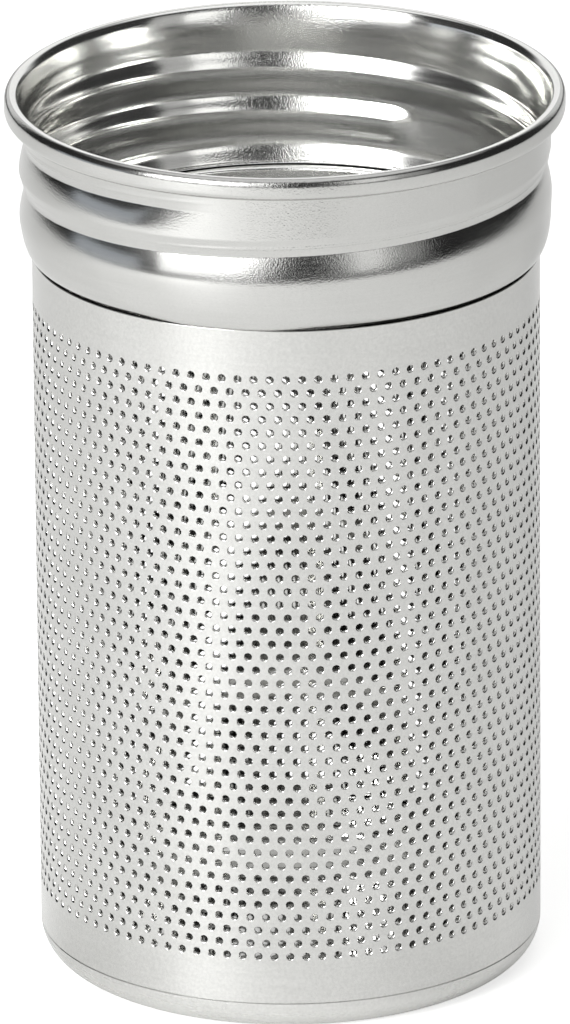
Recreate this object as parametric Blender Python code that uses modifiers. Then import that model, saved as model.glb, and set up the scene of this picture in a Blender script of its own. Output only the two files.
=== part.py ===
# Tea infuser basket: a threaded steel collar on a perforated wall with a pressed base pan.
# Frame: metres, +Z up, origin at the centre of the underside of the base, front towards -Y.

import math

import bmesh
import bpy
import numpy as np
from mathutils import Matrix

# Driving dimensions of the basket
BASKET_OD = 0.0450            # outside diameter of the perforated wall
BASKET_HEIGHT = 0.0661        # top edge of the wall above the table
WALL_SHEET = 0.0004           # thickness of the wall's sheet
BASE_SHEET = 0.0004           # thickness of the base pan's sheet
BASE_CORNER = 0.0030          # outside radius of the base corner
BASE_LAP = 0.0026             # how far the base pan's flange reaches up inside the wall
SEAT_GAP = 0.0003             # clearance where two pieces meet

# Perforation: a staggered lattice at four times the real pitch, with the real open area
HOLE_COLUMNS = 25
HOLE_SIZE = 0.0029            # across the corners of a hole
WALL_MARGIN_LOW = 0.0045      # plain band from the base corner up to the lowest row's centres
WALL_MARGIN_HIGH = 0.0045     # plain band from the highest row's centres up to the wall's edge
FLOOR_MARGIN = 0.0020         # plain ring from the floor field's edge to the corner

# Driving dimensions of the collar
COLLAR_SHEET = 0.0004         # thickness of the collar's sheet
COLLAR_HEIGHT = 0.0151        # rim above the wall's top edge
BAND_STEP = 0.0010            # how far the threaded band stands out from the wall
SHOULDER_HEIGHT = 0.0036      # rise of the rounded shoulder from the wall's edge to the band
SKIRT_LAP = 0.0030            # how far the skirt reaches down inside the wall
LIP_WIDTH = 0.00128           # the curled lip, measured outwards
LIP_HEIGHT = 0.0027           # the curled lip, measured upwards
LIP_CURL_END = -60.0          # degrees round the lip's section where the curl meets the band again

# The rolled thread: one right-handed groove, with its angles counted from the front
THREAD_LEAD = 0.0041
THREAD_DEPTH = 0.00042
THREAD_START_ANGLE = 148.0    # degrees
THREAD_START_HEIGHT = 0.0046  # groove above the wall's top edge where it starts
THREAD_SWEEP = 552.0          # degrees, about one and a half turns
THREAD_RUN_OUT = 40.0         # degrees over which the groove fades at each end
FLANK_ABOVE = 0.0017          # width of the groove's upper flank
FLANK_BELOW = 0.0026          # width of its lower flank

# Facets: two to a hole column, so that each hole lies within one facet
FACETS = 2 * HOLE_COLUMNS
HOLE_SIDES = 6
CORNER_STEPS = 3
SHOULDER_STEPS = 4
LIP_STEPS = 8
BAND_STEPS = 9
PUNCH_STROKE = 6              # a punch's length, counted in sheet thicknesses
SMOOTH_ANGLE = 35.0           # degrees, edges sharper than this stay crisp
MERGE = 0.00001

# Worked out from the driving dimensions
BASKET_RADIUS = BASKET_OD / 2
WALL_INNER = BASKET_RADIUS - WALL_SHEET
BAND_RADIUS = BASKET_RADIUS + BAND_STEP
SKIRT_RADIUS = WALL_INNER - SEAT_GAP
SHOULDER_LOW = BASKET_HEIGHT + SEAT_GAP
SHOULDER_HIGH = SHOULDER_LOW + SHOULDER_HEIGHT
RIM_HEIGHT = BASKET_HEIGHT + COLLAR_HEIGHT
LIP_LOW = RIM_HEIGHT - LIP_HEIGHT
COLUMN_PITCH = 2 * math.pi * BASKET_RADIUS / HOLE_COLUMNS
ROW_PITCH = COLUMN_PITCH * math.sqrt(3) / 2


def clear_scene():
    for item in list(bpy.data.objects):
        bpy.data.objects.remove(item, do_unlink=True)


def add_collection(name):
    collection = bpy.data.collections.new(name)
    bpy.context.scene.collection.children.link(collection)
    return collection


def steel(name, colour, roughness):
    material = bpy.data.materials.new(name)
    material.use_nodes = True
    shader = material.node_tree.nodes["Principled BSDF"]
    shader.inputs["Base Color"].default_value = (*colour, 1.0)
    shader.inputs["Metallic"].default_value = 1.0
    shader.inputs["Roughness"].default_value = roughness
    return material


def add_object(name, mesh, collection, material=None):
    item = bpy.data.objects.new(name, mesh)
    collection.objects.link(item)
    if material:
        mesh.materials.append(material)
    return item


def arc(centre, radii, start, end, steps):
    # Points of an ellipse's arc in the XZ plane, angles in degrees from +X
    angles = np.radians(np.linspace(start, end, steps + 1))
    return [(centre[0] + radii[0] * math.cos(a), centre[1] + radii[1] * math.sin(a)) for a in angles]


def turn(name, profile, closed, collection, material):
    # Revolve a profile of (radius, height) points, which runs down its outer side
    mesh = bpy.data.meshes.new(name)
    count = len(profile)
    edges = [(i, i + 1) for i in range(count - 1)]
    if closed:
        edges.append((count - 1, 0))
    mesh.from_pydata([(radius, 0.0, height) for radius, height in profile], edges, [])
    item = add_object(name, mesh, collection, material)
    screw = item.modifiers.new("turn", "SCREW")
    screw.steps = FACETS
    screw.render_steps = FACETS
    screw.use_merge_vertices = True
    screw.merge_threshold = MERGE
    return item


def apply_modifiers(item):
    graph = bpy.context.evaluated_depsgraph_get()
    mesh = bpy.data.meshes.new_from_object(item.evaluated_get(graph))
    item.modifiers.clear()
    item.data = mesh


def shade_round(item):
    item.data.shade_smooth()
    item.data.set_sharp_from_angle(angle=math.radians(SMOOTH_ANGLE))


def drill(item, cutter):
    cut = item.modifiers.new("perforation", "BOOLEAN")
    cut.operation = "DIFFERENCE"
    cut.solver = "EXACT"
    cut.object = cutter


def add_cutter(name, placements, depth, collection):
    # One six-sided punch at each placement, along the placement's own Z axis
    mesh = bpy.data.meshes.new(name)
    form = bmesh.new()
    for placement in placements:
        bmesh.ops.create_cone(form, cap_ends=True, segments=HOLE_SIDES, radius1=HOLE_SIZE / 2,
                              radius2=HOLE_SIZE / 2, depth=depth, matrix=placement)
    form.to_mesh(mesh)
    form.free()
    cutter = add_object(name, mesh, collection)
    cutter.hide_render = True
    cutter.display_type = "WIRE"
    return cutter


def wall_placements():
    # Staggered rows up the wall, every other row turned by half a column
    low = BASE_CORNER + WALL_MARGIN_LOW
    high = BASKET_HEIGHT - WALL_MARGIN_HIGH
    rows = int((high - low) / ROW_PITCH + MERGE) + 1
    first = (low + high - (rows - 1) * ROW_PITCH) / 2
    placements = []
    for row in range(rows):
        height = first + row * ROW_PITCH
        for column in range(HOLE_COLUMNS):
            angle = 2 * math.pi * (column + 0.5 * (row % 2)) / HOLE_COLUMNS
            outwards = Matrix.Rotation(angle, 4, "Z") @ Matrix.Translation((0.0, -BASKET_RADIUS, height))
            placements.append(outwards @ Matrix.Rotation(math.pi / 2, 4, "X"))
    return placements


def floor_placements():
    # A triangular lattice at the wall's pitch, kept to a round field inside the flat of the floor
    reach = BASKET_RADIUS - BASE_CORNER - FLOOR_MARGIN
    rows = int(reach / ROW_PITCH)
    columns = int(reach / COLUMN_PITCH) + 1
    placements = []
    for row in range(-rows, rows + 1):
        for column in range(-columns, columns + 1):
            across = COLUMN_PITCH * (column + 0.5 * (row % 2))
            along = ROW_PITCH * row
            if math.hypot(across, along) <= reach:
                placements.append(Matrix.Translation((across, along, BASE_SHEET / 2)))
    return placements


def thread_dip(angle, height):
    # Depth of the rolled groove at an angle in degrees from the front and a height above the table
    turns = np.arange(0, int((THREAD_START_ANGLE + THREAD_SWEEP) // 360) + 1)
    dip = 0.0
    for sweep in angle % 360 + 360 * turns - THREAD_START_ANGLE:
        if not 0 <= sweep <= THREAD_SWEEP:
            continue
        groove = BASKET_HEIGHT + THREAD_START_HEIGHT + THREAD_LEAD * sweep / 360
        above = height - groove
        share = above / FLANK_ABOVE if above > 0 else -above / FLANK_BELOW
        fade = min(1.0, sweep / THREAD_RUN_OUT, (THREAD_SWEEP - sweep) / THREAD_RUN_OUT)
        dip = max(dip, THREAD_DEPTH * fade * max(0.0, 1 - share) ** 2)
    return dip


def roll_thread(item):
    # Press the groove into both faces of the band, and leave the lip and skirt round
    for vertex in item.data.vertices:
        x, y, height = vertex.co
        if not SHOULDER_LOW + MERGE < height <= LIP_LOW + MERGE:
            continue
        radius = math.hypot(x, y)
        angle = math.degrees(math.atan2(x, -y))
        pressed = 1 - thread_dip(angle, height) / radius
        vertex.co.x = x * pressed
        vertex.co.y = y * pressed


def build_wall(parts, cutters):
    low = BASE_CORNER + SEAT_GAP
    profile = [(BASKET_RADIUS, BASKET_HEIGHT), (BASKET_RADIUS, low)]
    profile += [(WALL_INNER, low), (WALL_INNER, BASKET_HEIGHT)]
    wall = turn("perforated_wall", profile, True, parts, steel("brushed_wall", (0.62, 0.62, 0.60), 0.38))
    apply_modifiers(wall)
    drill(wall, add_cutter("wall_punches", wall_placements(), PUNCH_STROKE * WALL_SHEET, cutters))
    shade_round(wall)


def build_base(parts, cutters):
    # The pan's outside meets the wall flush, and its flange steps in to pass inside the wall
    flange = WALL_INNER - SEAT_GAP
    flange_top = BASE_CORNER + BASE_LAP
    flange_inner = flange - BASE_SHEET
    fillet = max(BASE_CORNER - BASE_SHEET, SEAT_GAP)
    # From the middle of the floor: outwards, up inside the flange, down outside it and back underneath
    profile = [(0.0, BASE_SHEET)]
    profile += arc((flange_inner - fillet, BASE_SHEET + fillet), (fillet, fillet), -90, 0, CORNER_STEPS)
    profile += [(flange_inner, flange_top), (flange, flange_top), (flange, BASE_CORNER)]
    corner = (BASKET_RADIUS - BASE_CORNER, BASE_CORNER)
    profile += arc(corner, (BASE_CORNER, BASE_CORNER), 0, -90, CORNER_STEPS)
    profile.append((0.0, 0.0))
    pan = turn("base_pan", profile, False, parts, steel("brushed_base", (0.64, 0.64, 0.62), 0.34))
    apply_modifiers(pan)
    drill(pan, add_cutter("floor_punches", floor_placements(), PUNCH_STROKE * BASE_SHEET, cutters))
    shade_round(pan)


def build_collar(parts):
    inner_band = BAND_RADIUS - COLLAR_SHEET
    inner_skirt = SKIRT_RADIUS - COLLAR_SHEET
    skirt_low = BASKET_HEIGHT - SKIRT_LAP
    lip_centre = (BAND_RADIUS + LIP_WIDTH / 2, LIP_LOW + LIP_HEIGHT / 2)
    inner_shoulder = (inner_band - BAND_STEP, SHOULDER_HIGH)
    inner_rise = SHOULDER_HEIGHT - COLLAR_SHEET
    band = np.linspace(LIP_LOW, SHOULDER_HIGH, BAND_STEPS + 1)
    # Outer side, downwards: curled lip, threaded band, rounded shoulder, ledge over the wall, skirt
    profile = arc(lip_centre, (LIP_WIDTH / 2, LIP_HEIGHT / 2), 180, LIP_CURL_END, LIP_STEPS)
    profile += [(BAND_RADIUS, height) for height in band]
    profile += arc((BASKET_RADIUS, SHOULDER_HIGH), (BAND_STEP, SHOULDER_HEIGHT), 0, -90, SHOULDER_STEPS)[1:]
    profile += [(SKIRT_RADIUS, SHOULDER_LOW), (SKIRT_RADIUS, skirt_low)]
    # Inner side, upwards
    profile += [(inner_skirt, skirt_low), (inner_skirt, SHOULDER_LOW + COLLAR_SHEET)]
    profile += arc(inner_shoulder, (BAND_STEP, inner_rise), -90, 0, SHOULDER_STEPS)[:-1]
    profile += [(inner_band, height) for height in reversed(band)]
    collar = turn("threaded_collar", profile, True, parts, steel("polished_collar", (0.66, 0.66, 0.64), 0.2))
    apply_modifiers(collar)
    roll_thread(collar)
    shade_round(collar)


def main():
    clear_scene()
    parts = add_collection("tea_infuser_basket")
    cutters = add_collection("cutters")
    build_collar(parts)
    build_wall(parts, cutters)
    build_base(parts, cutters)


main()
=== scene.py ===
# Tea infuser basket, dressed: rolled collar, finely perforated wall and pressed base pan, in steel.
# Frame: metres, +Z up, front towards -Y. Angles round the axis start at the front and go to the right.

import math

import bpy
import numpy as np
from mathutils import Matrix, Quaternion, Vector
from mathutils.geometry import delaunay_2d_cdt


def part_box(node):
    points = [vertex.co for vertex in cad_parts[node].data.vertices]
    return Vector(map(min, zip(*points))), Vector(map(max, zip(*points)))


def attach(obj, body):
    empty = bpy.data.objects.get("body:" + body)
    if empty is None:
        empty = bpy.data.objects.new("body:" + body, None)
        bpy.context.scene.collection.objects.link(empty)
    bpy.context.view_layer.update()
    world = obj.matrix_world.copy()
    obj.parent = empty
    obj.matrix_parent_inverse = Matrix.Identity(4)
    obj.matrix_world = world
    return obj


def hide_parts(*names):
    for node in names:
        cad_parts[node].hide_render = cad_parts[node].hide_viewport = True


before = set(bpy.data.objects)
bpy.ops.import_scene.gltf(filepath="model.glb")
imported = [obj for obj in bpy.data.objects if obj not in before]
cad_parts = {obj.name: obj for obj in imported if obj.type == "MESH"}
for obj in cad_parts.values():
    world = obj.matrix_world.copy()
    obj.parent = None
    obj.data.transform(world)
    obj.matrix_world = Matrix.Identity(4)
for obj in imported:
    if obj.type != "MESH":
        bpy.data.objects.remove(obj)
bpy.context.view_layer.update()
wallLow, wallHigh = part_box("perforated_wall")
collarLow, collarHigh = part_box("threaded_collar")
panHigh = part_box("base_pan")[1]
mm = 0.001
hair = 0.01 * mm                   # tolerance when heights are compared
seatGap = 0.3 * mm                 # the frame's pieces keep this gap to each other
wallRadius = wallHigh.x
print("frame loaded:", sorted(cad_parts))


# Mesh helpers

def ringFaces(index):
    # quads between neighbouring rows of point numbers, where each row is a closed ring
    index = np.hstack([index, index[:, :1]])
    corners = [index[:-1, :-1], index[:-1, 1:], index[1:, 1:], index[1:, :-1]]
    return np.stack(corners, axis=-1).reshape(-1, 4)


def putMesh(name, points, faceSets, material, normalSets=None, inside=None):
    # a mesh from an array of points and arrays of faces, with a normal for each face corner where given,
    # and an attribute that is 1 on points of the inside
    mesh = bpy.data.meshes.new(name)
    loops = np.concatenate([faces.ravel() for faces in faceSets])
    sizes = np.concatenate([np.full(len(faces), faces.shape[1]) for faces in faceSets])
    starts = np.concatenate([[0], np.cumsum(sizes)[:-1]])
    mesh.vertices.add(len(points))
    mesh.vertices.foreach_set("co", points.astype(np.float32).ravel())
    mesh.loops.add(len(loops))
    mesh.loops.foreach_set("vertex_index", loops.astype(np.int32))
    mesh.polygons.add(len(sizes))
    mesh.polygons.foreach_set("loop_start", starts.astype(np.int32))
    mesh.update(calc_edges=True)
    mesh.shade_smooth()
    if normalSets is not None:
        mesh.normals_split_custom_set(np.concatenate([normals.reshape(-1, 3) for normals in normalSets]))
    if inside is not None:
        mark = mesh.attributes.new("inside", "FLOAT", "POINT")
        mark.data.foreach_set("value", inside.astype(np.float32))
    mesh.materials.append(material)
    piece = bpy.data.objects.new(name, mesh)
    bpy.context.scene.collection.objects.link(piece)
    return piece


def aroundAxis(radius, angle, height):
    # a point at a radius and an angle from the front, counted to the right
    radius, angle, height = np.broadcast_arrays(radius, angle, height)
    return np.stack([radius * np.sin(angle), -radius * np.cos(angle), height], axis=-1)


def ellipseArc(centre, radii, start, end, count):
    # points of an ellipse's arc, angles in degrees from the outward radius
    turn = np.radians(np.linspace(start, end, count))
    return np.stack([centre[0] + radii[0] * np.cos(turn), centre[1] + radii[1] * np.sin(turn)], axis=-1)


def straight(start, end, count):
    # evenly spaced points of a line, with its first point left out
    share = np.linspace(0, 1, count + 1)[1:, None]
    return np.array(start) * (1 - share) + np.array(end) * share


# Materials

def nodeMaker(material):
    # gives a function that makes a node: settings go to the node or to its inputs, and links join sockets
    material.use_nodes = True
    tree = material.node_tree
    tree.nodes.clear()

    def make(kind, links=None, **settings):
        node = tree.nodes.new(kind)
        for key, value in settings.items():
            if hasattr(node, key):
                setattr(node, key, value)
            else:
                node.inputs[key.replace("_", " ")].default_value = value
        for key, source in (links or {}).items():
            tree.links.new(source, node.inputs[key])
        return node
    return make


def mapRange(make, value, span, result):
    # maps one span of values onto another, and holds its ends
    return make("ShaderNodeMapRange", {"Value": value}, From_Min=span[0], From_Max=span[1],
                To_Min=result[0], To_Max=result[1]).outputs["Result"]


def maths(make, operation, first, second):
    # works out one value from two
    return make("ShaderNodeMath", {0: first, 1: second}, operation=operation).outputs[0]


steelNoise = {
    "brushDetail": 3.0,
    "brushRoughness": 0.6,
    "grainDetail": 2.0,
    "patchDetail": 3.0,
    "sandDetail": 1.0,
    "wear": (0.7, 1.3),            # span of brushing and rubbing together
    "grain": (0.3, 0.7),           # span of the grain
    "sand": (0.48, 0.62),          # where a patch of grain starts, and where it is full
    "leastSand": 0.1,              # grain outside the patches
}


def steel(name, look):
    # steel with circular brushing, a fine grain, and soft patches of rubbing in its roughness;
    # it is polished where the piece's inside attribute is 1, and its colour is darkened outside and
    # brightened inside, painted shade and painted light
    material = bpy.data.materials.new(name)
    make = nodeMaker(material)
    place = make("ShaderNodeTexCoord").outputs["Object"]
    inside = make("ShaderNodeAttribute", attribute_name="inside").outputs["Fac"]

    def noise(where, scale, detail, roughness=0.5):
        return make("ShaderNodeTexNoise", {"Vector": where}, Scale=scale, Detail=detail,
                    Roughness=roughness).outputs["Fac"]

    def byInside(outer, inner):
        return mapRange(make, inside, (0.0, 1.0), (outer, inner))

    ring = make("ShaderNodeMapping", {"Vector": place}, Scale=look["brushScale"]).outputs["Vector"]
    brush = noise(ring, 1.0, steelNoise["brushDetail"], steelNoise["brushRoughness"])
    grain = noise(place, look["grainScale"], steelNoise["grainDetail"])
    patch = noise(place, look["patchScale"], steelNoise["patchDetail"])
    sand = noise(place, look["grainPatch"], steelNoise["sandDetail"])
    wear = maths(make, "ADD", brush, patch)
    rough = maths(make, "MULTIPLY", mapRange(make, wear, steelNoise["wear"], look["roughness"]),
                  byInside(1.0, look["polish"]))
    worn = mapRange(make, wear, steelNoise["wear"], (0.0, 1.0))
    colour = make("ShaderNodeMix", {"Factor": worn}, data_type="RGBA")
    colour.inputs["A"].default_value = (*look["colours"][0], 1.0)
    colour.inputs["B"].default_value = (*look["colours"][1], 1.0)
    # each grain is a little lighter or darker than the next
    speckle = mapRange(make, grain, steelNoise["grain"], (1 - look["speckle"], 1 + look["speckle"]))
    # painted light and painted shade: the inside and the outside each get a brightness of their own,
    # standing in for how light falls on them, times the grain's speckle
    bright = maths(make, "MULTIPLY", byInside(look["outsideShade"], look["inner"]), speckle)
    shade = make("ShaderNodeVectorMath", {0: colour.outputs["Result"], "Scale": bright}, operation="SCALE")
    # grain and brushing are fainter inside
    calm = byInside(1.0, look["innerGrain"])
    brushing = maths(make, "MULTIPLY", brush, calm)
    sanded = mapRange(make, sand, steelNoise["sand"], (steelNoise["leastSand"], 1.0))
    extent = maths(make, "MULTIPLY", sanded, calm)
    if "rubbed" in look:
        across = make("ShaderNodeSeparateXYZ", {"Vector": place}).outputs["X"]
        off = make("ShaderNodeMath", {0: across}, operation="ABSOLUTE").outputs[0]
        middle = mapRange(make, off, look["rubbed"], (0.0, look["rubbedGrain"]))
        extent = maths(make, "MAXIMUM", extent, middle)
    fine = make("ShaderNodeBump", {"Height": maths(make, "MULTIPLY", grain, extent)},
                Strength=1.0, Distance=look["grainDepth"])
    lines = make("ShaderNodeBump", {"Height": brushing, "Normal": fine.outputs["Normal"]},
                 Strength=1.0, Distance=look["brushDepth"])
    shader = make("ShaderNodeBsdfPrincipled", {"Base Color": shade.outputs["Vector"], "Roughness": rough,
                                               "Normal": lines.outputs["Normal"]}, Metallic=1.0)
    make("ShaderNodeOutputMaterial", {"Surface": shader.outputs["BSDF"]})
    return material


# Collar: curled lip, band with a rolled thread, rounded shoulder, ledge over the wall and skirt

collar = {
    "sheet": 0.4 * mm,
    "band": 23.5 * mm,             # radius of the plain band
    "crease": collarHigh.z - 2.65 * mm,    # where the curl of the lip meets the band
    "creaseStep": 0.015 * mm,      # a fine step there, this far out
    "creaseDrop": 0.05 * mm,       # and this far down
    "curlEnd": -88,                # the curl stops just short of upright
    "lipFace": (collarHigh.z - 1.4 * mm, collarHigh.z - 0.75 * mm),    # upright face of the lip
    "lipTop": 24.26 * mm,          # radius of the lip's highest ring
    "lipFlat": 0.24 * mm,          # width of the lip's flat top
    "lipEdge": 0.42 * mm,          # rounding of the lip's inner edge
    "flareTilt": 28,               # the inside of the lip flares by this angle, over this length
    "flareLength": 0.22 * mm,
    "flareBend": 1.0 * mm,         # it bends down to a gentler angle, which fades into the band
    "easeTilt": 12,
    "neckTilt": 27,                # the shoulder's inside necks in by this angle, over this length
    "neckLength": 1.0 * mm,
    "neckBend": 2.5 * mm,
    "neckStep": 0.19 * mm,         # height of the neck's foot above the ledge
    "shoulder": 3.6 * mm,          # rise of the shoulder
    "ledge": wallHigh.z + 0.35 * mm,
    "skirt": wallRadius - 0.7 * mm,
    "lead": 4.1 * mm,              # the groove climbs this much in a turn
    "depth": 0.48 * mm,
    "startAngle": 148,
    "startHeight": wallHigh.z + 4.6 * mm,
    "sweep": 560,                  # degrees that the groove runs
    "turns": 3,                    # passes over one angle that the sweep can make
    "runIn": 8,                    # degrees over which the groove starts and fades
    "runOut": 26,
    "threadFoot": 0.5 * mm,        # this much above the ledge stays free of the groove
    "flankAbove": 1.65 * mm,
    "flankBelow": 2.6 * mm,
    "below": 2.0,                  # power that rounds the lower flank
    "swell": 0.06 * mm,            # metal pushed out below the groove
    "swellWidth": 1.0 * mm,
    "ridge": 0.065 * mm,           # fine line that the roller leaves in the upper flank
    "ridgeHeight": 0.85 * mm,
    "ridgeWidth": 0.14 * mm,
    "backDepth": 0.62 * mm,        # the groove's back, inside, is a rounder wave
    "backAbove": 1.9 * mm,
    "backBelow": 2.6 * mm,
    "lean": 0.52 * mm,             # the lip is curled this much lower at one side
    "leanAngle": -12,
    "weldDrop": 0.31 * mm,         # the shoulder's foot is welded down onto the wall over a short stretch
    "weldAngle": -13,
    "weldReach": 17,
    "weldRise": 1.0 * mm,
    "columns": 396,
    "bandRows": 112,               # rows of points on the band, outside and inside
    "backRows": 40,
    "look": {
        "colours": ((0.81, 0.81, 0.79), (0.86, 0.86, 0.84)),
        "roughness": (0.13, 0.22),
        "polish": 0.9,                 # inside roughness as a share of the outside's
        "outsideShade": 0.665,                 # painted shade: brightness of the outside
        "inner": 1.1,                  # painted light: and of the inside, brightened
        "brushScale": (90, 90, 5200),
        "brushDepth": 0.001 * mm,
        "grainScale": 6400,
        "grainDepth": 0.016 * mm,
        "speckle": 0.03,               # how much the grain varies the brightness
        "innerGrain": 0.15,
        "grainPatch": 75,              # scale of the patches that the grain stands in
        "rubbed": (9 * mm, 3 * mm),    # strong grain ends and is full this far from the middle plane
        "rubbedGrain": 1.4,
        "patchScale": 140,
    },
}


def threadDip(angle, height, outer):
    # depth of the groove over each turn it makes: outside, a straight flank with a fine ridge above
    # its notch and a rounded flank below; inside, a wave of cosines; and a slight swell where the
    # rolled metal went
    dip = np.zeros(np.broadcast(angle, height).shape)
    rise = np.zeros(dip.shape)
    for turn in range(collar["turns"]):
        sweep = np.degrees(angle) % 360 + 360 * turn - collar["startAngle"]
        gap = height - collar["startHeight"] - collar["lead"] * sweep / 360
        above = np.clip(1 - gap / collar["flankAbove"], 0, 1)
        below = np.clip(1 + gap / collar["flankBelow"], 0, 1) ** collar["below"]
        ends = np.minimum(sweep / collar["runIn"], (collar["sweep"] - sweep) / collar["runOut"])
        fade = np.clip(ends, 0, 1)
        fade = fade * fade * (3 - 2 * fade)
        notch = collar["depth"] * np.where(gap > 0, above, below)
        reach = np.where(gap > 0, collar["backAbove"], collar["backBelow"])
        back = collar["backDepth"] * (1 + np.cos(math.pi * np.clip(gap / reach, -1, 1))) / 2
        dip = np.maximum(dip, fade * np.where(outer, notch, back))
        swell = collar["swell"] * np.exp(-((gap + collar["flankBelow"]) / collar["swellWidth"]) ** 2)
        ridge = collar["ridge"] * np.exp(-((gap - collar["ridgeHeight"]) / collar["ridgeWidth"]) ** 2)
        rise = np.maximum(rise, fade * (swell + outer * ridge))
    return dip - rise


def collarProfile():
    # (radius, height) points of the sheet's outside, downwards, and of its inside, upwards; the last
    # number of a stretch counts its points
    widest, top = collarHigh.x, collarHigh.z
    faceLow, faceHigh = collar["lipFace"]
    lipTop, crease, band = collar["lipTop"], collar["crease"], collar["band"]
    ledge, skirt = collar["ledge"], collar["skirt"]
    high = ledge + collar["shoulder"]
    inner, skirtIn = band - collar["sheet"], skirt - collar["sheet"]
    curlIn = band + collar["creaseStep"]
    # the flare, from the lip's inner edge down: cone, bend, and an easing arc that ends upright
    edge, bend = collar["lipEdge"], collar["flareBend"]
    edgeCentre = (lipTop - collar["lipFlat"], top - edge)
    tilt, ease = math.radians(collar["flareTilt"]), math.radians(collar["easeTilt"])
    coneTop = np.array(edgeCentre) + edge * np.array([-math.cos(tilt), math.sin(tilt)])
    coneFoot = coneTop - collar["flareLength"] * np.array([math.sin(tilt), math.cos(tilt)])
    bendCentre = coneFoot + bend * np.array([math.cos(tilt), -math.sin(tilt)])
    easeTop = bendCentre + bend * np.array([-math.cos(ease), math.sin(ease)])
    easing = (easeTop[0] - inner) / (1 - math.cos(ease))
    easeFoot = easeTop[1] - easing * math.sin(ease)
    # the neck, from its foot above the ledge up: cone and bend
    tuck, neckBend = math.radians(collar["neckTilt"]), collar["neckBend"]
    neckRun = collar["neckLength"] * np.array([math.sin(tuck), math.cos(tuck)])
    neckIn = inner - neckBend * (1 - math.cos(tuck)) - neckRun[0]
    neckFoot = np.array([neckIn, ledge + collar["neckStep"]])
    neckHigh = neckFoot[1] + neckRun[1] + neckBend * math.sin(tuck)
    outside = [
        ellipseArc((lipTop, faceHigh), (widest - lipTop, top - faceHigh), 90, 0, 18)[1:],
        straight((widest, faceHigh), (widest, faceLow), 3),
        ellipseArc((curlIn, faceLow), (widest - curlIn, faceLow - crease), 0, collar["curlEnd"], 12)[1:],
        straight((band, crease - collar["creaseDrop"]), (band, high), collar["bandRows"]),
        ellipseArc((wallRadius, high), (band - wallRadius, collar["shoulder"]), 0, -90, 16)[1:],
        straight((wallRadius, ledge), (skirt, ledge), 2),
        straight((skirt, ledge), (skirt, collarLow.z), 3),
    ]
    inside = [
        straight((skirtIn, collarLow.z), (skirtIn, ledge - edge), 3),
        ellipseArc((skirtIn + edge, ledge - edge), (edge, edge), 180, 90, 4)[1:],
        straight((skirtIn + edge, ledge), (neckIn, ledge), 2),
        straight((neckIn, ledge), neckFoot, 1),
        straight(neckFoot, neckFoot + neckRun, 4),
        ellipseArc((inner - neckBend, neckHigh), (neckBend, neckBend), -collar["neckTilt"], 0, 9)[1:],
        straight((inner, neckHigh), (inner, easeFoot), collar["backRows"]),
        ellipseArc((inner + easing, easeFoot), (easing, easing), 180, 180 - collar["easeTilt"], 10)[1:],
        ellipseArc(bendCentre, (bend, bend), 180 - collar["easeTilt"], 180 - collar["flareTilt"], 5)[1:],
        straight(coneFoot, coneTop, 2),
        ellipseArc(edgeCentre, (edge, edge), 180 - collar["flareTilt"], 90, 8)[1:],
        straight((edgeCentre[0], top), (lipTop, top), 1),
    ]
    return np.vstack(outside), np.vstack(inside)


def settle(angle, height):
    # how far the finished collar lies below its turned profile: the lip leans by a cosine of the angle,
    # and the shoulder's foot drops near the weld
    crease, ledge = collar["crease"], collar["ledge"]
    lip = np.clip((height - crease) / (collar["lipFace"][0] - crease), 0, 1)
    lean = collar["lean"] * lip * (1 + np.cos(angle - math.radians(collar["leanAngle"]))) / 2
    turn = (np.degrees(angle) - collar["weldAngle"] + 180) % 360 - 180
    low = np.clip(1 - (height - ledge) / collar["weldRise"], 0, 1) * (height > ledge - hair)
    return lean + collar["weldDrop"] * low * np.exp(-(turn / collar["weldReach"]) ** 4)


def buildCollar():
    # radius(angle, place on profile) = profile radius less the thread's dip, between shoulder and lip
    outside, inside = collarProfile()
    profile = np.vstack([outside, inside])
    angle = np.linspace(0, 2 * math.pi, collar["columns"], endpoint=False)[None, :]
    height = profile[:, 1:]
    outer = np.arange(len(profile))[:, None] < len(outside)
    threaded = (height > collar["ledge"] + collar["threadFoot"]) & (height < collar["crease"])
    radius = profile[:, :1] - np.where(threaded, threadDip(angle, height, outer), 0)
    points = aroundAxis(radius, angle, height - settle(angle, height)).reshape(-1, 3)
    index = np.arange(len(points)).reshape(len(profile), -1)
    faces = ringFaces(np.vstack([index, index[:1]]))[:, ::-1]
    inside = np.repeat(~outer, collar["columns"])
    material = steel("polished steel", collar["look"])
    return putMesh("rolled_collar", points, [faces], material, inside=inside)


# Wall: a rolled sheet with a staggered lattice of punched holes

wall = {
    "sheet": 0.4 * mm,
    "columns": 99,
    "rows": 45,
    "pitch": math.radians(3.6112),         # angle from hole to hole
    "first": math.radians(-253.02),        # the first column, beside the sheet's closing seam
    "lowRow": 7.46 * mm,           # height of the lowest row of holes
    "highRow": 61.59 * mm,         # height of the highest row
    "mouth": 0.375 * mm,           # radius of a hole outside, where punching rolled its edge over
    "hole": 0.325 * mm,            # and inside
    "roll": math.radians(72),      # how far the rolled edge turns outwards
    "holeSides": 9,
    "backSides": 6,
    "edge": 0.07 * mm,             # rounding of the top edge
    "chamfer": 0.3,                # middle point of a small rounding, as a share of it
    "lowEdge": 0.01 * mm,          # rounding of the bottom edge
    "gap": 0.005 * mm,             # gap to the base pan
    "look": {
        "colours": ((0.60, 0.60, 0.585), (0.65, 0.65, 0.635)),
        "roughness": (0.18, 0.26),
        "polish": 0.12,
        # painted shade and painted light: brightness of the outside and of the inside
        "outsideShade": 0.965,
        "inner": 0.93,
        "brushScale": (120, 120, 3000),
        "brushDepth": 0.0004 * mm,
        "grainScale": 3800,
        "grainDepth": 0.004 * mm,
        "speckle": 0.05,
        "innerGrain": 0.15,
        "grainPatch": 75,
        "patchScale": 120,
    },
}


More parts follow.
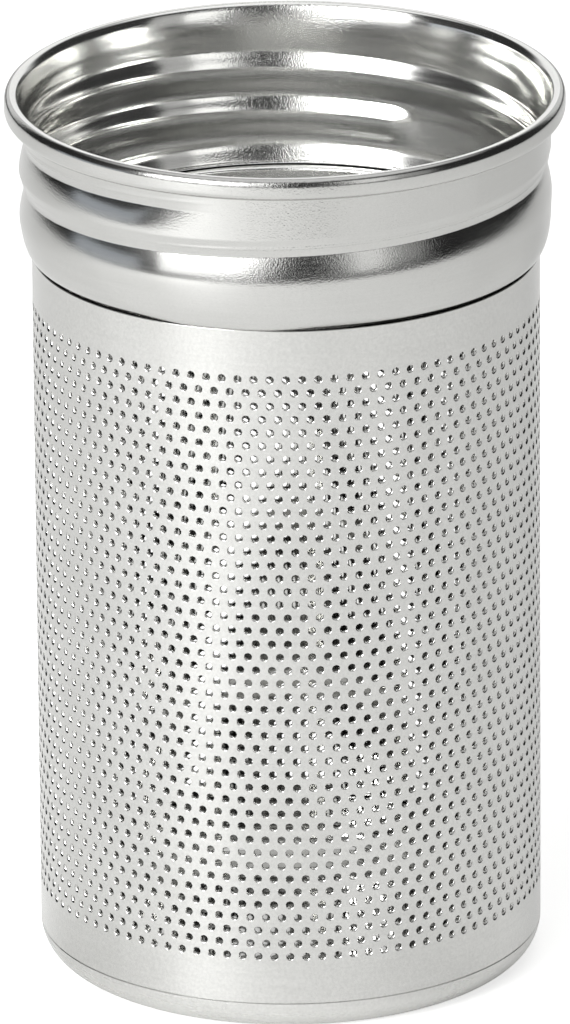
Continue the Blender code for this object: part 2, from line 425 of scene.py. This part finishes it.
def between(outer, inner):
    # triangles between two closed rings of indices, one pair of rings for each cell, in step by angle
    many, few = outer.shape[1], inner.shape[1]
    steps = np.concatenate([(np.arange(many) + 0.5) / many, (np.arange(few) + 0.5) / few])
    onOuter = np.concatenate([np.ones(many, bool), np.zeros(few, bool)])
    order = np.argsort(steps, kind="stable")
    onOuter = onOuter[order]
    at = np.cumsum(onOuter) - onOuter
    under = np.cumsum(~onOuter) - ~onOuter
    first = outer[:, at % many]
    last = inner[:, under % few]
    ahead = np.where(onOuter, outer[:, (at + 1) % many], inner[:, (under + 1) % few])
    return np.stack([first, ahead, last], axis=-1).reshape(-1, 3)


def buildWall():
    # each hole is a tile of the cylinder: six shared corners, a ring round the hole, and the same inside
    rows, columns = wall["rows"], wall["columns"]
    rowPitch = (wall["highRow"] - wall["lowRow"]) / (rows - 1)
    innerRadius = wallRadius - wall["sheet"]
    # corner rings lie halfway between rows, at two angles for each column, and the seam closes them
    around = 2 * columns + 2
    ringHeights = wall["lowRow"] + (np.arange(rows + 1) - 0.5) * rowPitch
    ringAngles = wall["first"] + (np.arange(around) - 1) * wall["pitch"] / 2
    row = np.repeat(np.arange(rows), columns)
    column = np.tile(np.arange(columns), rows)
    centre = 2 * column + row % 2 + 1
    holeAngle = ringAngles[centre]
    holeHeight = wall["lowRow"] + row * rowPitch

    def cornerRing(rings):
        # each tile's corners, counter-clockwise seen from outside, starting on the right
        beside = np.array([1, 1, 0, -1, -1, 0])
        up = np.array([0, 1, 1, 1, 0, 0])
        return rings[row[:, None] + up, centre[:, None] + beside]

    def seamStrip(rings):
        # two plain quads in each row between its last tile and its first
        low = np.repeat(np.arange(rows), 2)
        start = around - 2 + low % 2 + np.tile([0, 1], rows)
        left, right = start % around, (start + 1) % around
        corners = [rings[low, left], rings[low, right], rings[low + 1, right], rings[low + 1, left]]
        return np.stack(corners, axis=-1)

    def holeRing(sides, hole, radius):
        # points of a regular polygon with the hole's area, bent round the wall
        size = hole * math.sqrt(2 * math.pi / (sides * math.sin(2 * math.pi / sides)))
        turn = 2 * math.pi * np.arange(sides) / sides - math.pi / 6
        angle = holeAngle[:, None] + size * np.cos(turn) / radius
        return aroundAxis(radius, angle, holeHeight[:, None] + size * np.sin(turn))

    def band(profile):
        # plain rings of points above or below the lattice
        return aroundAxis(profile[:, :1], ringAngles[None, :], profile[:, 1:])

    edge = wall["edge"]
    top = wallHigh.z
    low = wallLow.z - seatGap + wall["gap"]
    lowEdge = wall["lowEdge"]
    cut = wall["chamfer"]
    outTop = np.vstack([[[wallRadius, top - 2 * edge]],
                        ellipseArc((wallRadius - edge, top - edge), (edge, edge), 0, 90, 4)])
    inTop = np.array([[innerRadius + cut * edge, top - cut * edge], [innerRadius, top - edge]])
    outLow = np.array([[wallRadius, low + lowEdge], [wallRadius - cut * lowEdge, low + cut * lowEdge],
                       [wallRadius - lowEdge, low]])
    inLow = np.array([[innerRadius + lowEdge, low], [innerRadius, low + lowEdge]])

    outCorners = aroundAxis(wallRadius, ringAngles[None, :], ringHeights[:, None])
    inCorners = aroundAxis(innerRadius, ringAngles[None, :], ringHeights[:, None])
    outRing = holeRing(wall["holeSides"], wall["mouth"], wallRadius)
    inRing = holeRing(wall["backSides"], wall["hole"], innerRadius)
    parts = [outCorners, inCorners, outRing, inRing, band(outTop), band(inTop), band(outLow), band(inLow)]
    sizes = [part.size // 3 for part in parts]
    starts = np.concatenate([[0], np.cumsum(sizes)])
    points = np.vstack([part.reshape(-1, 3) for part in parts])

    def ringsOf(part, width=around):
        # numbers of a part's points, with a row for each of its rings
        return starts[part] + np.arange(sizes[part]).reshape(-1, width)

    outer, inner = ringsOf(0), ringsOf(1)
    outHole, inHole = ringsOf(2, wall["holeSides"]), ringsOf(3, wall["backSides"])
    outHigh, inHigh, outFoot, inFoot = [ringsOf(part) for part in range(4, len(parts))]
    outFace = between(cornerRing(outer), outHole)
    inFace = between(cornerRing(inner), inHole)[:, ::-1]
    outSeam = seamStrip(outer)
    inSeam = seamStrip(inner)[:, ::-1]
    barrel = between(outHole, inHole)
    upper = ringFaces(np.vstack([inner[-1:], inHigh[::-1], outHigh[::-1], outer[-1:]]))[:, ::-1]
    lower = ringFaces(np.vstack([outer[:1], outFoot, inFoot, inner[:1]]))[:, ::-1]

    def radial(faces, sign):
        # normals straight out from the axis, or straight in
        flat = points[faces] * np.array([1, 1, 0])
        return sign * flat / np.linalg.norm(flat, axis=-1, keepdims=True)

    def towardsHole(faces):
        # normals from the hole's wall towards the hole's own axis, turned outwards at the rolled edge
        hole = np.repeat(np.arange(len(holeAngle)), len(faces) // len(holeAngle))
        middle = aroundAxis(wallRadius - wall["sheet"] / 2, holeAngle, holeHeight)[hole][:, None]
        axis = aroundAxis(1.0, holeAngle, 0.0)[hole][:, None]
        away = middle - points[faces]
        away = away - np.sum(away * axis, axis=-1, keepdims=True) * axis
        away = away / np.linalg.norm(away, axis=-1, keepdims=True)
        roll = np.where(faces < inHole[0, 0], wall["roll"], 0)[..., None]
        return np.cos(roll) * away + np.sin(roll) * axis

    def edgeNormals(faces):
        # the top and bottom edges are rounded, so each point's normal leans with the profile
        corner = points[faces]
        flat = corner * np.array([1, 1, 0])
        radius = np.linalg.norm(flat, axis=-1, keepdims=True)
        out = flat / radius
        height = corner[..., 2:]
        high = height > (top + low) / 2
        outward = np.where(radius > wallRadius - wall["sheet"] / 2, 1.0, -1.0)
        lean = np.clip(1 - np.where(high, (top - height) / edge, (height - low) / lowEdge), 0, 1)
        normal = out * outward * np.sqrt(np.clip(1 - lean ** 2, 0, 1))
        normal[..., 2:] += np.where(high, 1.0, -1.0) * lean
        return normal / np.linalg.norm(normal, axis=-1, keepdims=True)

    faceSets = [outFace, outSeam, inFace, inSeam, barrel, upper, lower]
    normalSets = [radial(outFace, 1.0), radial(outSeam, 1.0), radial(inFace, -1.0), radial(inSeam, -1.0),
                  towardsHole(barrel), edgeNormals(upper), edgeNormals(lower)]
    inside = np.repeat(np.arange(len(parts)) % 2, sizes)      # the parts alternate, outside first
    material = steel("brushed steel", wall["look"])
    return putMesh("punched_wall", points, faceSets, material, normalSets, inside)


# Base pan: a pressed floor with a rounded corner, punched like the wall, and a flange inside the wall

pan = {
    "sheet": 0.4 * mm,
    "corner": wallLow.z - seatGap,      # outside radius of the corner, up to the wall's lower edge
    "cornerTop": -2,                    # degrees below level at which the corner starts
    "shelf": 0.12 * mm,                 # how far in the flat under the wall's edge stops
    "flange": wallRadius - 0.7 * mm,    # outside radius of the flange
    "field": 17.5 * mm,                 # radius of the punched field
    "pitch": wall["pitch"] * wallRadius,
    "hole": 0.33 * mm,
    "holeSides": 10,
    "flat": 18.6 * mm,                  # radius to which the floor is worked as a flat plate
    "merge": 1e-9,                      # points of the plate nearer to each other than this are one
    "sharp": 35,                        # edges that turn more than this stay sharp
    "columns": 360,
    "look": {
        "colours": ((0.62, 0.62, 0.605), (0.67, 0.67, 0.655)),
        "roughness": (0.24, 0.36),
        "polish": 0.12,
        # painted shade and painted light: brightness of the outside and of the inside
        "outsideShade": 0.97,
        "inner": 0.93,
        "brushScale": (120, 120, 3000),
        "brushDepth": 0.0004 * mm,
        "grainScale": 3800,
        "grainDepth": 0.004 * mm,
        "speckle": 0.05,
        "innerGrain": 0.15,
        "grainPatch": 75,
        "patchScale": 120,
    },
}


def buildPan():
    # a flat punched plate, and around it a turned section: inside fillet, flange, corner and underside
    sheet = pan["sheet"]
    reach = int(pan["field"] / pan["pitch"]) + 2
    across, along = np.meshgrid(np.arange(-reach, reach + 1), np.arange(-reach, reach + 1))
    centres = np.stack([pan["pitch"] * (across + 0.5 * (along % 2)),
                        pan["pitch"] * math.sqrt(0.75) * along], axis=-1).reshape(-1, 2)
    centres = centres[np.linalg.norm(centres, axis=1) <= pan["field"]]
    turn = 2 * math.pi * np.arange(pan["holeSides"]) / pan["holeSides"]
    rings = centres[:, None] + pan["hole"] * np.stack([np.cos(turn), np.sin(turn)], axis=-1)
    angle = np.linspace(0, 2 * math.pi, pan["columns"], endpoint=False)
    rim = aroundAxis(pan["flat"], angle, 0)[:, :2]
    flat = np.vstack([rings.reshape(-1, 2), rim])
    holes = np.arange(len(rings) * pan["holeSides"]).reshape(len(rings), -1)
    rimIndex = len(rings) * pan["holeSides"] + np.arange(pan["columns"])
    loops = holes.tolist() + [rimIndex.tolist()]
    # triangles between the loops, with the holes left open
    holesOpen = 2
    made = delaunay_2d_cdt([Vector(place) for place in flat.tolist()], [], loops, holesOpen, pan["merge"])
    plate = np.array(made[2])
    cross = np.cross(flat[plate[:, 1]] - flat[plate[:, 0]], flat[plate[:, 2]] - flat[plate[:, 0]])
    plate = np.where((cross > 0)[:, None], plate, plate[:, ::-1])
    count = len(flat)
    base = np.hstack([flat, np.zeros((count, 1))])
    points = [base + [0, 0, sheet], base]
    ahead = np.roll(holes, -1, axis=1)
    around = np.stack([holes, ahead, ahead + count, holes + count], axis=-1).reshape(-1, 4)

    corner = pan["corner"]
    flangeIn = pan["flange"] - sheet
    fillet = corner - sheet
    high = panHigh.z
    cup = np.vstack([
        ellipseArc((flangeIn - fillet, sheet + fillet), (fillet, fillet), -90, 0, 10),
        straight((flangeIn, corner), (flangeIn, high), 3),
    ])
    ring = np.vstack([
        cup,
        straight((flangeIn, high), (pan["flange"], high), 1),
        straight((pan["flange"], high), (pan["flange"], corner), 3),
        straight((pan["flange"], corner), (wallRadius - pan["shelf"], corner), 1),
        ellipseArc((wallRadius - corner, corner), (corner, corner), pan["cornerTop"], -90, 18),
    ])
    turned = aroundAxis(ring[:, :1], angle[None, :], ring[:, 1:])
    points.append(turned.reshape(-1, 3))
    turnedIndex = 2 * count + np.arange(turned.size // 3).reshape(len(ring), -1)
    section = ringFaces(np.vstack([rimIndex[None], turnedIndex, rimIndex[None] + count]))
    faceSets = [plate, plate[:, ::-1] + count, around[:, ::-1], section[:, ::-1]]
    cupPoints = len(cup) * pan["columns"]
    inside = np.repeat([1, 0, 1, 0], [count, count, cupPoints, turnedIndex.size - cupPoints])
    material = steel("satin steel", pan["look"])
    piece = putMesh("pressed_pan", np.vstack(points), faceSets, material, inside=inside)
    piece.data.set_sharp_from_angle(angle=math.radians(pan["sharp"]))
    return piece


for node, slot, build in (("threaded_collar", "polished_collar", buildCollar),
                          ("perforated_wall", "brushed_wall", buildWall),
                          ("base_pan", "brushed_base", buildPan)):
    piece = build()
    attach(piece, "root")
    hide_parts(node)
    print(piece.name, "built with", len(piece.data.polygons), "faces")


# Studio: pale floor, soft boxes in a dim room with a bright ceiling and back, and the camera

white = (1.0, 1.0, 1.0)
warm = (1.0, 1.0, 0.99)
cool = (0.86, 0.92, 1.0)

studio = {
    "floorRings": (0.001, 0.2, 1.0, 4.0),    # radii of the floor's rings of points
    "floorColumns": 64,
    "tableCentre": (-0.19, 0.2, 0.0),
    "tableReach": (0.80, 0.70, 1.0),    # what mirrors show of the bright floor ends this far out
    "tableSoft": 0.08,
    "floorColour": (0.80, 0.80, 0.79),
    "floorGlow": 0.43,
    "spots": (                     # painted light and painted shadow: the floor glows more in front of the object, and less at its feet, for its contact shadow
        {"glow": 1.12, "centre": (-6 * mm, -16 * mm, 0.0), "reach": (14 * mm, 30 * mm)},
        {"glow": 0.66, "centre": (20 * mm, -23 * mm, 0.0), "reach": (6 * mm, 24 * mm)},
        {"glow": 0.6, "centre": (-24 * mm, -10 * mm, 0.0), "reach": (6 * mm, 18 * mm)},
        {"glow": 0.5, "centre": (0.0, 0.0, 0.0), "reach": (20.5 * mm, 23 * mm)},
    ),
    "sideGlow": 0.85,              # painted shade: it glows less beside the object, further right and behind as well
    "sideReach": (-22 * mm, -8 * mm),
    "rightGlow": 0.79,
    "rightReach": (0.0, 60 * mm),
    "backGlow": 0.79,
    "backReach": (40 * mm, 140 * mm),
    "floorShown": 0.62,            # glow of the floor as the camera sees it
    "floorRoughness": 0.5,
    "floorGloss": 0.15,
    "overhead": 0.95,
    "behind": 0.9,
    "horizon": (0.02, 0.08),       # upward share of the way out over which the glow behind begins
    "backSpan": (0.65, 0.8),       # backward share over which it begins
    "dim": 0.03,
    "dimTop": 52,                  # degrees up to which the room is dim
    "dimSoft": 0.08,
    "boxPower": 4.0,               # a lamp's power for a glow of 1 on each square metre
    "boxes": (                     # azimuth, elevation, distance, width, height, glow and colour
        (-34, 22, 1.2, 1.0, 1.0, 1.45, white),
        (-38.5, 20.5, 1.19, 0.48, 0.26, 18.0, white),
        (-8.5, 22, 1.2, 0.035, 1.0, 1.4, white),
        (-5, 22, 1.2, 0.025, 1.0, 0.9, white),
        (-2, 22, 1.2, 0.015, 1.0, 0.4, white),
        (20, 15, 1.2, 0.03, 0.7, 0.8, white),
        (34, 17, 1.2, 0.4, 0.8, 0.55, warm),
        (43, 17, 1.21, 0.75, 0.8, 0.3, warm),
        (-84, -3.5, 1.2, 0.8, 0.4, 0.45, cool),
    ),
    "lens": 462.7,                 # the camera's lens and sensor are in millimetres
    "sensor": 36.0,
    "clip": (0.05, 20.0),
    "target": (-0.00026, 0.0, 0.04114),
    "elevation": 20.143,
    "distance": 1.1738,
    "roll": -0.446,
}


def buildFloor():
    # a disc of rings: radius and angle are its two parameters
    angle = np.linspace(0, 2 * math.pi, studio["floorColumns"], endpoint=False)[None, :]
    radius = np.array(studio["floorRings"])[:, None]
    points = aroundAxis(radius, angle, 0 * radius).reshape(-1, 3)
    index = np.arange(len(points)).reshape(len(radius), -1)
    material = bpy.data.materials.new("pale floor")
    make = nodeMaker(material)

    def paint(glow, share=None):
        links = {"Emission Strength": share} if share else None
        shader = make("ShaderNodeBsdfPrincipled", links, Roughness=studio["floorRoughness"])
        shader.inputs["Base Color"].default_value = (*studio["floorColour"], 1.0)
        shader.inputs["Emission Color"].default_value = (*white, 1.0)
        shader.inputs["Emission Strength"].default_value = glow
        shader.inputs["Specular IOR Level"].default_value = studio["floorGloss"]
        return shader.outputs["BSDF"]

    def fromPlace(operation, vector):
        node = make("ShaderNodeVectorMath", {0: place}, operation=operation)
        node.inputs[1].default_value = vector
        return node.outputs

    dark = make("ShaderNodeBsdfDiffuse")
    dark.inputs["Color"].default_value = (studio["dim"], studio["dim"], studio["dim"], 1.0)
    # mirrors see a table of limited size, while the camera sees the same pale floor everywhere
    place = make("ShaderNodeTexCoord").outputs["Object"]
    off = fromPlace("SUBTRACT", studio["tableCentre"])["Vector"]
    scaled = make("ShaderNodeVectorMath", {0: off}, operation="DIVIDE")
    scaled.inputs[1].default_value = studio["tableReach"]
    length = make("ShaderNodeVectorMath", {0: scaled.outputs["Vector"]}, operation="LENGTH")
    edge = (1 + studio["tableSoft"], 1 - studio["tableSoft"])
    table = mapRange(make, length.outputs["Value"], edge, (0.0, 1.0))
    sides = make("ShaderNodeSeparateXYZ", {"Vector": place}).outputs
    farGlow = studio["floorGlow"] * studio["backGlow"]
    glow = mapRange(make, sides["Y"], studio["backReach"], (studio["floorGlow"], farGlow))
    shares = [mapRange(make, sides["Y"], studio["sideReach"], (1.0, studio["sideGlow"])),
              mapRange(make, sides["X"], studio["rightReach"], (1.0, studio["rightGlow"]))]
    # painted shadow at the object's feet and beside it, and painted light in front of it, in the floor's
    # glow
    for spot in studio["spots"]:
        apart = fromPlace("DISTANCE", spot["centre"])["Value"]
        shares.append(mapRange(make, apart, spot["reach"], (spot["glow"], 1.0)))
    for share in shares:
        glow = maths(make, "MULTIPLY", glow, share)
    seen = make("ShaderNodeLightPath").outputs["Is Camera Ray"]
    lit = paint(studio["floorGlow"], glow)
    shown = paint(studio["floorShown"])
    mirrored = make("ShaderNodeMixShader", {0: table, 1: dark.outputs["BSDF"], 2: lit})
    mixed = make("ShaderNodeMixShader", {0: seen, 1: mirrored.outputs["Shader"], 2: shown})
    make("ShaderNodeOutputMaterial", {"Surface": mixed.outputs["Shader"]})
    floor = putMesh("floor", points, [ringFaces(index)], material)


def buildRoom():
    # dim all round, bright overhead and above the horizon behind, and plain white to the camera
    world = bpy.data.worlds.new("studio room")
    bpy.context.scene.world = world
    make = nodeMaker(world)
    way = make("ShaderNodeTexCoord").outputs["Generated"]
    parts = make("ShaderNodeSeparateXYZ", {"Vector": way}).outputs
    dimTop = math.sin(math.radians(studio["dimTop"]))
    dimSpan = (dimTop - studio["dimSoft"], dimTop + studio["dimSoft"])
    above = mapRange(make, parts["Z"], dimSpan, (studio["dim"], studio["overhead"]))
    rising = mapRange(make, parts["Z"], studio["horizon"], (0.0, studio["behind"]))
    back = mapRange(make, parts["Y"], studio["backSpan"], (0.0, 1.0))
    behind = maths(make, "MULTIPLY", rising, back)
    lit = maths(make, "MAXIMUM", above, behind)
    seen = make("ShaderNodeLightPath").outputs["Is Camera Ray"]
    glow = maths(make, "MAXIMUM", lit, seen)
    sky = make("ShaderNodeBackground", {"Strength": glow})
    sky.inputs["Color"].default_value = (*white, 1.0)
    make("ShaderNodeOutputWorld", {"Surface": sky.outputs["Background"]})


def buildBox(number, azimuth, elevation, distance, width, height, glow, colour):
    # a rectangular soft box that faces the object
    light = bpy.data.lights.new("soft box %d" % number, "AREA")
    light.shape = "RECTANGLE"
    light.size, light.size_y = width, height
    light.energy = glow * studio["boxPower"] * width * height
    light.color = colour
    lamp = bpy.data.objects.new(light.name, light)
    turn, rise = math.radians(azimuth), math.radians(elevation)
    way = Vector((math.sin(turn) * math.cos(rise), -math.cos(turn) * math.cos(rise), math.sin(rise)))
    lamp.location = way * distance + Vector((0, 0, wallHigh.z))
    lamp.rotation_euler = way.to_track_quat("Z", "Y").to_euler()
    bpy.context.scene.collection.objects.link(lamp)


def buildCamera():
    camera = bpy.data.cameras.new("camera")
    camera.lens = studio["lens"]
    camera.sensor_width = studio["sensor"]
    camera.clip_start, camera.clip_end = studio["clip"]
    item = bpy.data.objects.new("camera", camera)
    elevation = math.radians(studio["elevation"])
    back = Vector((0.0, -math.cos(elevation), math.sin(elevation)))
    item.location = Vector(studio["target"]) + back * studio["distance"]
    roll = Quaternion((0.0, 0.0, 1.0), math.radians(studio["roll"]))
    item.rotation_euler = (back.to_track_quat("Z", "Y") @ roll).to_euler()
    bpy.context.scene.collection.objects.link(item)
    bpy.context.scene.camera = item


buildFloor()
buildRoom()
for number, box in enumerate(studio["boxes"]):
    buildBox(number, *box)
buildCamera()
bpy.context.scene.view_settings.view_transform = "Standard"
print("studio built")
